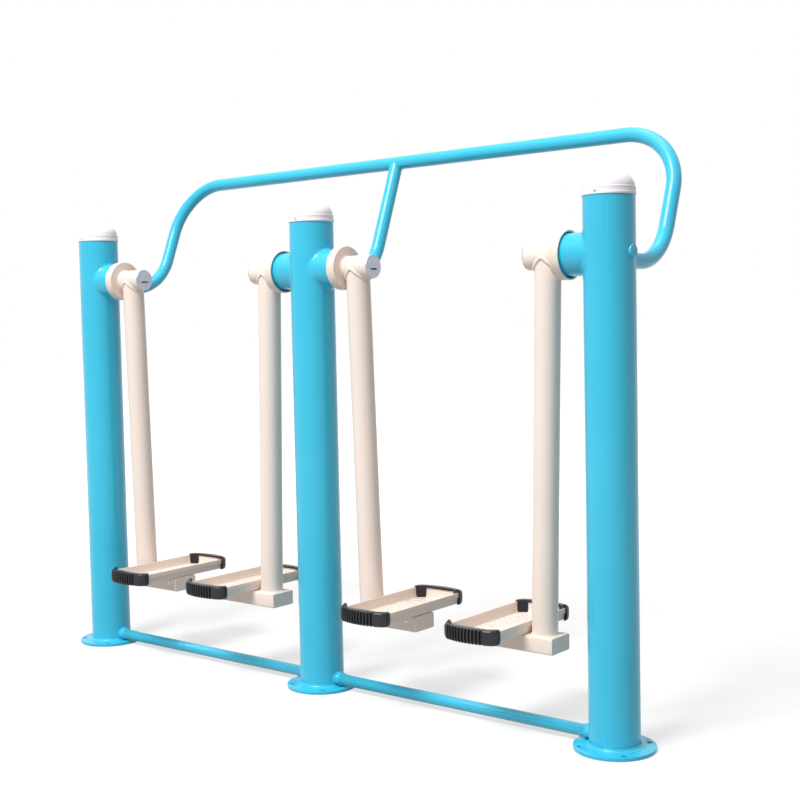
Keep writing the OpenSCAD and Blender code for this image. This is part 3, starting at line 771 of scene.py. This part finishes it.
def stub(arm):
    """Hub stub: a tube coped to the post, closed by a plate with the axle's bore."""
    wall, plate, bore = 0.004, 0.008, 0.01255
    inner, plate_back = STUB_R - wall, STUB_END - plate

    def outline(angle):
        def coped(radius):
            return math.sqrt((POST_R + SEAT) ** 2 - (radius * math.cos(angle)) ** 2)
        rim = [(STUB_R, STUB_END - 0.0016), (STUB_R - 0.0003, STUB_END - 0.0004),
               (STUB_R - 0.0012, STUB_END)]
        return [(STUB_R, coped(STUB_R)), (STUB_R, coped(STUB_R) + 0.002)] + rim + [
            (bore, STUB_END), (bore, plate_back), (inner, plate_back), (inner, coped(inner)),
        ]

    stand_for(settle(lathe(f"{arm}_stub_tube", outline, turned_at(arm), 128)), f"{arm}_stub")


def pendulum_tube(arm):
    """Pendulum tube, coped to the underside of the sleeve and cut level on the foot beam."""
    wall, stretch, lean = 0.003, 1 / math.cos(SPLAY), math.tan(SPLAY)
    put = hub_at(arm)
    # shares of the tube's length, close together near its ends so that its side shades straight
    rings = (0.0, 0.002, 0.03, 0.25, 0.5, 0.75, 0.97, 1.0)

    def outline(angle):
        def coped(radius):
            return -math.sqrt((SLEEVE_R + SEAT) ** 2 - (radius * math.sin(angle)) ** 2)
        top, inner = coped(ARM_R), ARM_R - wall
        outside = [(ARM_R, top - (DROP + top) * share) for share in rings]
        return outside + [(inner, -DROP), (inner, coped(inner))]

    def place(across, up, z):
        return put(ARM_X - z * lean + across * stretch, up, z)

    stand_for(settle(lathe(f"{arm}_pendulum", outline, place, 128)), f"{arm}_tube")


def sleeve(arm):
    """Hub sleeve: housing with the bearings' bore, cup with rounded rim, and the stop lug."""
    outline = braced(rounded([
        (CUP_BORE_R, CUP_BACK, 0.0006), (CUP_R, CUP_BACK, 0.0014), (CUP_R, CUP_OUT, 0.0024),
        (SLEEVE_R, CUP_OUT, 0), (SLEEVE_R, SLEEVE_END, 0.0008),
        (SLEEVE_BORE_R, SLEEVE_END, 0.0004), (SLEEVE_BORE_R, SHOULDER_END, 0),
        (SHOULDER_R, SHOULDER_END, 0), (SHOULDER_R, CUP_IN, 0.0004), (CUP_BORE_R, CUP_IN, 0.002),
    ], 4))
    body = settle(lathe(f"{arm}_sleeve_body", outline, turned_at(arm), 128))
    lug_face, lug_foot = CUP_IN - STOP_T, CUP_IN + 0.001
    section = rounded([
        (STOP_IN_R, lug_face, 0.0008), (STOP_OUT_R, lug_face, 0.0008),
        (STOP_OUT_R, lug_foot, 0), (STOP_IN_R, lug_foot, 0),
    ], 2)
    put = hub_at(arm)
    loops = []
    for k in range(13):
        angle = -STOP_ANGLE / 2 + STOP_ANGLE * k / 12
        loops.append([
            put(along, r * math.sin(angle), r * math.cos(angle)) for r, along in section
        ])
    lug = settle(loft(f"{arm}_stop_lug", loops))
    stand_for(join(f"{arm}_sleeve_and_lug", [body, lug]), f"{arm}_sleeve")


def end_cap(arm):
    """Domed disc with a sunk middle, a slot to lift it by, and a collar in the sleeve's bore."""
    face, back = SLEEVE_END + END_CAP_T, SLEEVE_END + SEAT
    web, collar_end = SLEEVE_END - 0.0010, SLEEVE_END - 0.006
    collar_r, collar_bore = 0.0258, 0.0232
    outline = braced(rounded([
        (0, face - 0.0016, 0), (0.0130, face - 0.0012, 0.010), (0.0245, face, 0.0012),
        (0.0288, face - 0.0006, 0.0010), (0.0297, back, 0.0003), (collar_r, back, 0.0003),
        (collar_r, collar_end, 0.0004), (collar_bore, collar_end, 0.0004),
        (collar_bore, web, 0.0004), (0, web, 0),
    ], 4), 0.0004)
    disc = lathe(f"{arm}_end_disc", outline, turned_at(arm), 72)
    put = hub_at(arm)
    slot_from = put(SLEEVE_END - 0.004, -0.0100, -0.0082)
    slot_to = put(face + 0.004, 0.0130, -0.0040)
    xs, ys, zs = (sorted(pair, reverse=True) for pair in zip(slot_from, slot_to))
    cutter = new_piece(
        "slot", [(x, y, z) for z in zs for y in ys for x in xs],
        [(0, 1, 3, 2), (4, 6, 7, 5), (0, 4, 5, 1), (2, 3, 7, 6), (0, 2, 6, 4), (1, 5, 7, 3)],
    )
    stand_for(cut_out(disc, close_up(cutter)), f"{arm}_end_cap")


def foot_beam(arm):
    """Box tube with soft corners and a welded plate at each end."""
    put = hub_at(arm)
    edge = 0.0045
    start, end = FOOT_X - BEAM_HEEL, FOOT_X + BEAM_TOE
    # how far the skin stands in, from the end plate's face over its soft edge and the weld's
    # hollow to the tube, with the distance from the end
    seam = [(0.0030, 0), (0.0020, 0), (0.0006, 0.0005), (0, 0.0018), (0, 0.0034),
            (0.0010, 0.0042), (0.0010, 0.0050), (0, 0.0058), (0, 0.0066)]
    insets = [(i, start + x) for i, x in seam] + [(i, end - x) for i, x in reversed(seam)]
    loops = []
    for inset, x in insets:
        section = rectangle(BEAM_W / 2 - inset, BEAM_H / 2 - inset, edge - inset * 0.5, 5)
        loops.append([put(x, y, z - DROP - BEAM_H / 2) for y, z in section])
    stand_for(settle(loft(f"{arm}_box_beam", loops)), f"{arm}_foot_beam")


def pan(arm):
    """Pressed pan: floor, walls with a bend at the foot, and a hem folded outwards."""
    put = hub_at(arm)
    corner, hem, fold, foot, bottom = 0.0104, 0.0115, 0.0022, 0.0052, 0.012
    low, top = -DROP, -DROP + PAN_H
    floor = low + PAN_T
    section = braced(rounded([
        (bottom, floor, 0), (foot, floor, 0.003), (PAN_T, floor + 0.006, 0.004),
        (PAN_T, top, 0.0014), (0, top, 0.0014), (0, top - hem, 0.0010),
        (fold, top - hem - 0.0006, 0.0005), (foot, low, 0.0045), (bottom, low, 0),
    ], 6), 0.0007)
    loops = []
    for inset, z in section:
        within_floor = inset > bottom - 0.0001 and low + 0.0004 < z < floor - 0.0004
        if not within_floor:
            edge = rectangle(
                PAN_W / 2 - inset, PAN_L / 2 - inset, max(corner - inset, 0.0015), 7)
            loops.append([put(PAN_X + x, y, z) for x, y in edge])
    stand_for(settle(loft(f"{arm}_pressed_pan", loops)), f"{arm}_pedal")


def lens_template():
    """Raised lens of the tread, one long dome on Z = 0."""
    half_l, half_w, height, sunk = 0.0105, 0.0032, 0.0018, 0.0006
    outline = [(0, -sunk), (1, -sunk)] + [
        (math.cos(a), height * math.sin(a)) for a in quarter(4)
    ]
    return settle(lathe(
        "tread_lens", outline, lambda across, up, along: (across * half_l, up * half_w, along), 20
    ))


def tread(arm, template):
    """Anti-slip tread pressed into the pan's floor, its lenses by turns to the left and right."""
    put = hub_at(arm)
    places = []
    for i in range(-2, 3):
        for j in range(-6, 7):
            x, y = i * LENS_PITCH_X, j * LENS_PITCH_Y
            from_bolt = max(abs(abs(x) - BOLT_X / 2), abs(abs(y) - BOLT_Y / 2))
            if from_bolt >= LENS_TO_BOLT:
                angle = math.radians(45 if (i + j) % 2 else -45)
                places.append((put(PAN_X + x, y, PAN_T - DROP), (0, 0, 1), angle))
    piece = parts_on_points(f"{arm}_tread", template, places, "cream_paint")
    show(piece, BODY_OF[f"{arm}_pedal"], "cream_paint")


def pedal_bolts(arm, template):
    """Four bolts down through the pan into the foot beam."""
    put, node = hub_at(arm), f"{arm}_pedal_bolts"
    places = [
        (put(PAN_X + x * BOLT_X / 2, y * BOLT_Y / 2, PAN_T - DROP), (0, 0, 1), 0.0)
        for x in (-1, 1) for y in (-1, 1)
    ]
    piece = parts_on_points(f"{arm}_bolt_set", template, places, "cream_paint")
    show(piece, BODY_OF[node], "cream_paint", node)


def arm_welds(arm):
    """Beads where sleeve, cup, pendulum tube and foot beam meet."""
    put = hub_at(arm)
    lean, stretched_r = math.tan(SPLAY), ARM_R / math.cos(SPLAY)

    def round_sleeve(t):
        return put(CUP_OUT, SLEEVE_R * math.cos(t), SLEEVE_R * math.sin(t))

    def saddle(t):
        y = ARM_R * 0.99 * math.cos(t)
        z = -math.sqrt(SLEEVE_R ** 2 - y * y)
        return put(ARM_X + ARM_R * math.sin(t) - z * lean, y, z)

    def round_foot(t):
        return put(FOOT_X + stretched_r * math.cos(t), ARM_R * math.sin(t), -DROP)

    seams = [
        (round_path(round_sleeve), CUP_BEAD),
        (round_path(saddle, 240), SADDLE_BEAD),
        (round_path(round_foot), FOOT_BEAD),
    ]
    weld_beads(f"{arm}_weld_beads", seams, BODY_OF[f"{arm}_tube"], "cream_paint")


def beam_plug(arm):
    """A small domed plug in the front side of the foot beam."""
    radius, height, sunk, from_end, down = 0.0042, 0.0022, 0.001, 0.027, 0.012
    plug = settle(lathe("plug", rounded([
        (0, -sunk, 0), (radius, -sunk, 0), (radius, 0.0008, 0.0006), (0.0026, height, 0.0016),
        (0, height, 0),
    ], 3), upright_at(0), 24))
    place = hub_at(arm)(FOOT_X + BEAM_TOE - from_end, -BEAM_W / 2, -DROP - down)
    places = [(place, (0, -1, 0), 0.0)]
    piece = parts_on_points(f"{arm}_beam_plug", plug, places, "zinc_steel")
    show(piece, BODY_OF[f"{arm}_foot_beam"], "zinc_steel")
    bpy.data.objects.remove(plug)


# Sizes of the bumpers. Seen from above, the front is a bow, and the corners lead to two legs.
BUMPER_T, BUMPER_SIDE, BUMPER_BOW, BUMPER_CORNER = 0.018, 0.004, 0.008, 0.022
BUMPER_LEG, BUMPER_RISE, BUMPER_UNDER, BUMPER_BACK = 0.005, 0.004, 0.002, 0.0004
BROW_IN, BROW_H, CHIN_IN, CHIN_H = 0.0045, 0.009, 0.0062, 0.014
SKIRT_T, SKIRT_DROP, FILL_X, EAR_H, EAR_L = 0.003, 0.0012, 0.022, 0.006, 0.014
LIP_IN, LEG_ROUND = 0.006, 0.0016
GROOVES, GROOVE_PITCH, GROOVE_R, GROOVE_DEPTH, GROOVE_END = 11, 0.0095, 0.0029, 0.0058, 0.040
GROOVE_FADE, GROOVE_BELOW_TOP = 0.0022, 0.0002
CORNER_X = PAN_W / 2 + BUMPER_SIDE - BUMPER_CORNER
BOW_R = (CORNER_X ** 2 + BUMPER_BOW ** 2) / (2 * BUMPER_BOW)
CORNER_Y = BOW_R - math.sqrt((BOW_R - BUMPER_CORNER) ** 2 - CORNER_X ** 2)
BOW_ANGLE = math.asin(CORNER_X / (BOW_R - BUMPER_CORNER))
LEG_END = CORNER_Y + BUMPER_LEG
PAN_CORNER = 0.010
BOW_STEPS, CORNER_STEPS, LEG_STEPS, ROUND_STEPS = 150, 16, 8, 3


def bumper_stations():
    """Round the bumper from its left leg to its right one, seen from above: for each station the
    outside point, its way out, the run along the bow, and the pan's outside with its way out."""
    half = []
    corner_turn = math.pi / 2 - BOW_ANGLE
    for k in range(BOW_STEPS + 1):
        angle = BOW_ANGLE * k / BOW_STEPS
        out = Vector((math.sin(angle), -math.cos(angle)))
        point = Vector((0, BOW_R)) + out * (BOW_R - BUMPER_BACK)
        beside = Vector(((PAN_W / 2 - PAN_CORNER) * k / BOW_STEPS, BUMPER_T))
        half.append((point, out, BOW_R * angle, beside, Vector((0, -1))))
    for k, way_angle in enumerate(quarter(CORNER_STEPS)[1:], 1):
        angle = BOW_ANGLE + corner_turn * k / CORNER_STEPS
        out = Vector((math.sin(angle), -math.cos(angle)))
        point = Vector((CORNER_X, CORNER_Y)) + out * (BUMPER_CORNER - BUMPER_BACK)
        way = Vector((math.sin(way_angle), -math.cos(way_angle)))
        beside = Vector((PAN_W / 2 - PAN_CORNER, BUMPER_T + PAN_CORNER)) + way * PAN_CORNER
        run = BOW_R * BOW_ANGLE + BUMPER_CORNER * corner_turn * k / CORNER_STEPS
        half.append((point, out, run, beside, way))
    for k in range(1, LEG_STEPS + 1):
        y = CORNER_Y + BUMPER_LEG * k / LEG_STEPS
        by_pan = BUMPER_T + PAN_CORNER + (LEG_END - BUMPER_T - PAN_CORNER) * k / LEG_STEPS
        share = max(0, (k - LEG_STEPS + ROUND_STEPS) / ROUND_STEPS)
        shrink = LEG_ROUND * (1 - math.sqrt(1 - share ** 2))
        half.append((
            Vector((CORNER_X + BUMPER_CORNER - BUMPER_BACK - shrink, y)), Vector((1, 0)),
            BOW_R * BOW_ANGLE + BUMPER_CORNER * corner_turn + y - CORNER_Y,
            Vector((PAN_W / 2, by_pan)), Vector((1, 0)),
        ))

    def flip(v):
        return Vector((-v.x, v.y))

    mirrored = [(flip(p), flip(o), -run, flip(b), flip(w)) for p, o, run, b, w in half[1:]]
    return list(reversed(mirrored)) + half


def groove_depth(run):
    """How deep the grooves are at a run along the bow, with a rounded crest between two."""
    deep = 0.0
    for i in range(GROOVES):
        off = abs(run - GROOVE_END + i * GROOVE_PITCH)
        if off < GROOVE_R:
            deep = math.sqrt(GROOVE_R ** 2 - off ** 2) - GROOVE_R + GROOVE_DEPTH
        elif off < GROOVE_PITCH / 2:
            crest = GROOVE_PITCH / 2 - GROOVE_R
            deep = crest - math.sqrt(crest ** 2 - (GROOVE_PITCH / 2 - off) ** 2)
    return deep


def bumper_face(point, out, top, height, deep):
    """The bumper's outside in one section, down over the brow and in under the chin."""
    face = []
    for k in range(6):
        a = math.pi / 2 * (1 - k / 5)
        z = height - BROW_H + BROW_H * math.sin(a)
        fade = min(1, max(0, (top - GROOVE_BELOW_TOP - z) / GROOVE_FADE))
        inset = BROW_IN * (1 - math.cos(a)) + deep * fade * fade * (3 - 2 * fade)
        face.append((point - out * inset, z))
    for a in quarter(5):
        inset = CHIN_IN * (1 - math.cos(a)) + deep
        face.append((point - out * inset, CHIN_H - CHIN_H * math.sin(a)))
    return face


def bumper_sections():
    """Sections of a bumper from leg to leg, as loops of points with its front on Y = 0."""
    top = BUMPER_UNDER + PAN_H + BUMPER_RISE
    floor = BUMPER_UNDER + PAN_T + SEAT
    skirt_low = top - BUMPER_RISE - SKIRT_DROP
    under, over = BUMPER_UNDER - SEAT, BUMPER_UNDER + PAN_H + SEAT
    inside_x, inside_y = PAN_W / 2 - PAN_T - SEAT, BUMPER_T + PAN_T + SEAT
    fill_from = Vector((inside_x - FILL_X, inside_y + SKIRT_T))
    fill_to = Vector((inside_x - SKIRT_T - 0.0007, LEG_END))
    stations = bumper_stations()
    filled = [s for s in stations if s[3].x > fill_from.x]
    loops = []
    for point, out, run, beside, way in stations:
        side = 1 if beside.x > 0 else -1
        if abs(beside.x) > fill_from.x:
            run_share = max(0, abs(run) - abs(filled[0][2])) / (filled[-1][2] - filled[0][2])
            inner = fill_from.lerp(fill_to, run_share)
            inner.x *= side
            low = floor
        else:
            inner, low = Vector((beside.x, inside_y + SKIRT_T)), skirt_low
        # the ear rises along the left leg and falls off at its end
        rise = max(0.0, beside.y - LEG_END + EAR_L) / EAR_L if side < 0 else 0.0
        height = top + EAR_H * (rise if rise < 0.9 else 1.8 - rise)
        wall_out, wall_in = beside + way * SEAT, beside - way * (PAN_T + SEAT)
        lip = beside - way * LIP_IN
        loop = [
            (inner, low), (inner, height - 0.0016), (inner + way * 0.0005, height - 0.0005),
            (inner + way * 0.0016, height),
            *bumper_face(point, out, top, height, groove_depth(run)),
            (lip, 0), (lip, under), (wall_out, under), (wall_out, over), (wall_in, over),
            (wall_in, low),
        ]
        loops.append([(p.x, p.y, z) for p, z in loop])
    return loops


def bumpers(arm, sections):
    """The same moulding at both ends of the pan, turned round at the toe."""
    x0, z0 = hub_at(arm)(PAN_X, 0, 0)[0], PAN_Z - BUMPER_UNDER
    for end, turn in (("heel", 1), ("toe", -1)):
        node = f"{arm}_{end}_bumper"
        loops = [
            [(x0 + turn * x, turn * (y - PAN_L / 2 - BUMPER_T), z0 + z) for x, y, z in loop]
            for loop in sections
        ]
        stand_for(settle(loft(f"{node}_rubber", loops), 38), node)


SECTIONS = bumper_sections()
BOLT, LENS = pedal_bolt_template(), lens_template()
for arm in ARMS:
    for make in (stub, pendulum_tube, sleeve, end_cap, foot_beam, pan):
        make(arm)
    tread(arm, LENS)
    pedal_bolts(arm, BOLT)
    arm_welds(arm)
    beam_plug(arm)
    bumpers(arm, SECTIONS)
bpy.data.objects.remove(BOLT)
bpy.data.objects.remove(LENS)
for name in ("middle_axle", "bearing_inner_rings", "bearing_collars", "stop_buffers"):
    smooth_copy(name)


# floor, light and camera


def camera_sees(tree):
    """1 for rays from the camera, in mirrors and through glass, 0 for light."""
    rays = tree.nodes.new("ShaderNodeLightPath")
    seen = math_node(tree, "MAXIMUM", rays.outputs["Is Camera Ray"], rays.outputs["Is Glossy Ray"])
    return math_node(tree, "MAXIMUM", seen, rays.outputs["Is Transmission Ray"])


def stage_floor():
    """A pale floor that keeps the shadow near the walker and is plain white further off."""
    material = bpy.data.materials.new("pale_floor")
    material.use_nodes = True
    tree = material.node_tree
    tree.nodes.clear()
    out = tree.nodes.new("ShaderNodeOutputMaterial")
    coords = tree.nodes.new("ShaderNodeTexCoord").outputs["Object"]
    diffuse = tree.nodes.new("ShaderNodeBsdfDiffuse")
    grain = noise(tree, coords, scale=3.0)
    tones = two_tones(tree, grain, (0.38, 0.38, 0.375), (0.41, 0.41, 0.405))
    tree.links.new(tones, diffuse.inputs["Color"])
    away = tree.nodes.new("ShaderNodeVectorMath")
    away.operation = "LENGTH"
    tree.links.new(coords, away.inputs[0])
    glow_share = spread(tree, away.outputs["Value"], 0.62, 1.0, span=(1.3, 3.2))
    seen_glow = math_node(tree, "MULTIPLY", camera_sees(tree), glow_share)
    glow = tree.nodes.new("ShaderNodeEmission")
    tree.links.new(seen_glow, glow.inputs["Strength"])
    both = tree.nodes.new("ShaderNodeAddShader")
    tree.links.new(diffuse.outputs[0], both.inputs[0])
    tree.links.new(glow.outputs[0], both.inputs[1])
    tree.links.new(both.outputs[0], out.inputs["Surface"])
    reach, drop = 30.0, -0.0006
    corners = [(x * reach, y * reach, drop) for x, y in ((-1, -1), (1, -1), (1, 1), (-1, 1))]
    floor = new_piece("floor", corners, [(0, 1, 2, 3)])
    floor.data.materials.append(material)


def stage_world():
    """Soft air that lights the walker, and plain white where the camera or a mirror looks."""
    world = bpy.data.worlds.new("studio")
    world.use_nodes = True
    tree = world.node_tree
    tree.nodes.clear()
    out = tree.nodes.new("ShaderNodeOutputWorld")
    mix = tree.nodes.new("ShaderNodeMixShader")
    tree.links.new(camera_sees(tree), mix.inputs["Fac"])
    for inlet, strength, tint in ((1, 0.30, (1.0, 0.985, 0.97, 1)), (2, 1.0, (1, 1, 1, 1))):
        sky = tree.nodes.new("ShaderNodeBackground")
        sky.inputs["Strength"].default_value = strength
        sky.inputs["Color"].default_value = tint
        tree.links.new(sky.outputs[0], mix.inputs[inlet])
    tree.links.new(mix.outputs[0], out.inputs["Surface"])
    bpy.context.scene.world = world


def softbox(name, place, size, power, tint=(1, 1, 1)):
    """A rectangular lamp that points at the walker's middle."""
    lamp = bpy.data.lights.new(name, "AREA")
    lamp.shape = "RECTANGLE"
    lamp.size, lamp.size_y = size
    lamp.energy = power
    lamp.color = tint
    stand = bpy.data.objects.new(name, lamp)
    stand.location = place
    aim = Vector((0, 0, 0.7)) - Vector(place)
    stand.rotation_euler = aim.to_track_quat("-Z", "Y").to_euler()
    bpy.context.scene.collection.objects.link(stand)


def stage_camera():
    """The photograph's own viewpoint, solved from the posts, the arms and the handrail."""
    viewpoint = (2.245077, -2.43797, 0.939604)
    yaw, pitch, roll = (math.radians(a) for a in (38.843, -3.333, -1.196))
    focal_px, image_px, sensor = 1273.93, 800.0, 36.0
    flat = math.cos(pitch)
    ahead = Vector((-math.sin(yaw) * flat, math.cos(yaw) * flat, math.sin(pitch)))
    level = Vector((math.cos(yaw), math.sin(yaw), 0))
    upright = level.cross(ahead)
    right = level * math.cos(roll) + upright * math.sin(roll)
    up = upright * math.cos(roll) - level * math.sin(roll)
    data = bpy.data.cameras.new("photo_view")
    data.sensor_width = sensor
    data.lens = sensor * focal_px / image_px
    camera = bpy.data.objects.new("photo_view", data)
    turn = Matrix((right, up, -ahead)).transposed().to_4x4()
    camera.matrix_world = Matrix.Translation(viewpoint) @ turn
    bpy.context.scene.collection.objects.link(camera)
    bpy.context.scene.camera = camera


stage_floor()
stage_world()
softbox("key", (-0.2, -5.1, 6.8), size=(3.2, 2.4), power=680, tint=(1.0, 0.995, 0.985))
softbox("top", (0.2, 0.4, 6.0), size=(3.0, 3.0), power=75)
stage_camera()
bpy.context.scene.view_settings.view_transform = "Standard"
